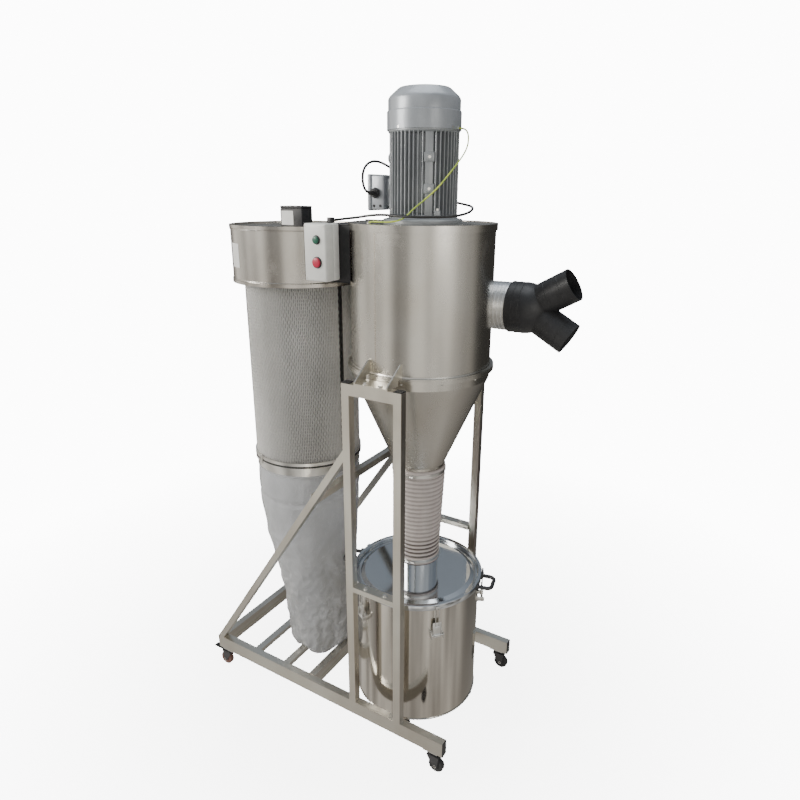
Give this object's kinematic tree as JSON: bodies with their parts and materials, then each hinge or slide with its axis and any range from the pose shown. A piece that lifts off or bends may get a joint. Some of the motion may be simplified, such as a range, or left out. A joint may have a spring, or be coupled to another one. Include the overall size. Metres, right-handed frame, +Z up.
{
  "type": "cyclone separator",
  "caption": "Cyclone dust separator on a castered tube frame: fan motor, steel cyclone, hose, barrel with toggle latches, filter cartridge with bag, forked inlet.",
  "frame": {"origin": "on the floor, in the middle of the plan of the frame and inlet", "axes": "+Z up; +X along the frame from the filter towards the inlet; +Y away from the side with the switch box"},
  "size_m": [1.4068, 0.672, 2.39],
  "materials": {
    "frame_steel": "satin",
    "cyclone_steel": "brushed",
    "barrel_steel": "polished",
    "polished_lid": "mirror",
    "black_plastic": "satin",
    "fork_paint": "gloss",
    "wheel_rubber": "matte",
    "motor_paint": "satin",
    "switch_plastic": "satin",
    "green_plastic": "gloss",
    "red_plastic": "gloss",
    "filter_cloth": "pleated",
    "bag_film": "film",
    "hose_plastic": "ribbed",
    "cable_sheath": "matte",
    "earth_sheath": "matte",
    "zinc": "satin"
  },
  "bodies": {
    "frame": {"bag_slats": "frame_steel", "barrel_body": "barrel_steel", "barrel_casters": "black_plastic", "barrel_floor": "barrel_steel", "barrel_handles": "fork_paint", "barrel_lid": "polished_lid", "base_rail_far": "frame_steel", "base_rail_left": "frame_steel", "base_rail_middle": "frame_steel", "base_rail_near": "frame_steel", "brace_bar": "frame_steel", "braces": "frame_steel", "cable_glands": "black_plastic", "cartridge_ring": "zinc", "caster_plates": "fork_paint", "clamp_ring": "polished_lid", "control_box": "black_plastic", "cyclone_brackets": "frame_steel", "cyclone_cone": "cyclone_steel", "cyclone_cylinder": "cyclone_steel", "cyclone_flange": "cyclone_steel", "cyclone_lid": "cyclone_steel", "dust_bag": "bag_film", "dust_hose": "hose_plastic", "earth_wire": "earth_sheath", "end_caps": "black_plastic", "filter_cartridge": "filter_cloth", "filter_head": "cyclone_steel", "filter_head_lid": "cyclone_steel", "hose_bands": "zinc", "inlet_fork": "black_plastic", "inlet_tube": "zinc", "latch_bases": "zinc", "mid_beams": "frame_steel", "motor_body": "motor_paint", "motor_cowl": "motor_paint", "post_far_left": "frame_steel", "post_far_right": "frame_steel", "post_near_left": "frame_steel", "post_near_right": "frame_steel", "power_cord": "cable_sheath", "switch_box": "switch_plastic", "terminal_box": "motor_paint", "top_beams": "frame_steel", "transfer_duct": "black_plastic"},
    "swivel_near_left": {"caster_fork_near_left": "fork_paint"},
    "wheel_near_left": {"caster_wheel_near_left": "wheel_rubber"},
    "swivel_near_right": {"caster_fork_near_right": "fork_paint"},
    "wheel_near_right": {"caster_wheel_near_right": "wheel_rubber"},
    "swivel_far_left": {"caster_fork_far_left": "fork_paint"},
    "wheel_far_left": {"caster_wheel_far_left": "wheel_rubber"},
    "swivel_far_right": {"caster_fork_far_right": "fork_paint"},
    "wheel_far_right": {"caster_wheel_far_right": "wheel_rubber"},
    "start_button": {"start_button": "green_plastic"},
    "stop_button": {"stop_button": "red_plastic"},
    "latch_lever_1": {"latch_lever_1": "zinc"},
    "latch_lever_2": {"latch_lever_2": "zinc"},
    "latch_lever_3": {"latch_lever_3": "zinc"},
    "latch_lever_4": {"latch_lever_4": "zinc"},
    "latch_lever_5": {"latch_lever_5": "zinc"}
  },
  "joints": [
    {"name": "swivel_near_left", "type": "hinge", "parent": "frame", "child": "swivel_near_left", "pos_m": [-0.61342, -0.3175, 0.078], "axis": [0, 0, 1], "continuous": true},
    {"name": "roll_near_left", "type": "hinge", "parent": "swivel_near_left", "child": "wheel_near_left", "pos_m": [-0.63541, -0.3175, 0.03], "axis": [0, 1, 0], "continuous": true},
    {"name": "swivel_near_right", "type": "hinge", "parent": "frame", "child": "swivel_near_right", "pos_m": [0.43458, -0.3175, 0.078], "axis": [0, 0, 1], "continuous": true},
    {"name": "roll_near_right", "type": "hinge", "parent": "swivel_near_right", "child": "wheel_near_right", "pos_m": [0.45659, -0.3175, 0.03], "axis": [0, 1, 0], "continuous": true},
    {"name": "swivel_far_left", "type": "hinge", "parent": "frame", "child": "swivel_far_left", "pos_m": [-0.61342, 0.3175, 0.078], "axis": [0, 0, 1], "continuous": true},
    {"name": "roll_far_left", "type": "hinge", "parent": "swivel_far_left", "child": "wheel_far_left", "pos_m": [-0.63541, 0.3175, 0.03], "axis": [0, 1, 0], "continuous": true},
    {"name": "swivel_far_right", "type": "hinge", "parent": "frame", "child": "swivel_far_right", "pos_m": [0.43458, 0.3175, 0.078], "axis": [0, 0, 1], "continuous": true},
    {"name": "roll_far_right", "type": "hinge", "parent": "swivel_far_right", "child": "wheel_far_right", "pos_m": [0.45659, 0.3175, 0.03], "axis": [0, 1, 0], "continuous": true},
    {"name": "press_start_button", "type": "slide", "parent": "frame", "child": "start_button", "axis": [0, 1, 0], "range_m": [0, 0.004], "stiffness_N_per_m": 400},
    {"name": "press_stop_button", "type": "slide", "parent": "frame", "child": "stop_button", "axis": [0, 1, 0], "range_m": [0, 0.004], "stiffness_N_per_m": 400},
    {"name": "latch_1", "type": "hinge", "parent": "frame", "child": "latch_lever_1", "pos_m": [0.37701, -0.18582, 0.488], "axis": [0.6947, 0.7193, 0], "range_deg": [0, 100]},
    {"name": "latch_2", "type": "hinge", "parent": "frame", "child": "latch_lever_2", "pos_m": [0.42077, 0.12558, 0.488], "axis": [-0.4695, 0.8829, 0], "range_deg": [0, 100]},
    {"name": "latch_3", "type": "hinge", "parent": "frame", "child": "latch_lever_3", "pos_m": [0.13813, 0.26344, 0.488], "axis": [-0.9848, -0.1736, 0], "range_deg": [0, 100]},
    {"name": "latch_4", "type": "hinge", "parent": "frame", "child": "latch_lever_4", "pos_m": [-0.08031, 0.03723, 0.488], "axis": [-0.1392, -0.9903, 0], "range_deg": [0, 34]},
    {"name": "latch_5", "type": "hinge", "parent": "frame", "child": "latch_lever_5", "pos_m": [0.06732, -0.24043, 0.488], "axis": [0.8988, -0.4384, 0], "range_deg": [0, 100]}
  ]
}
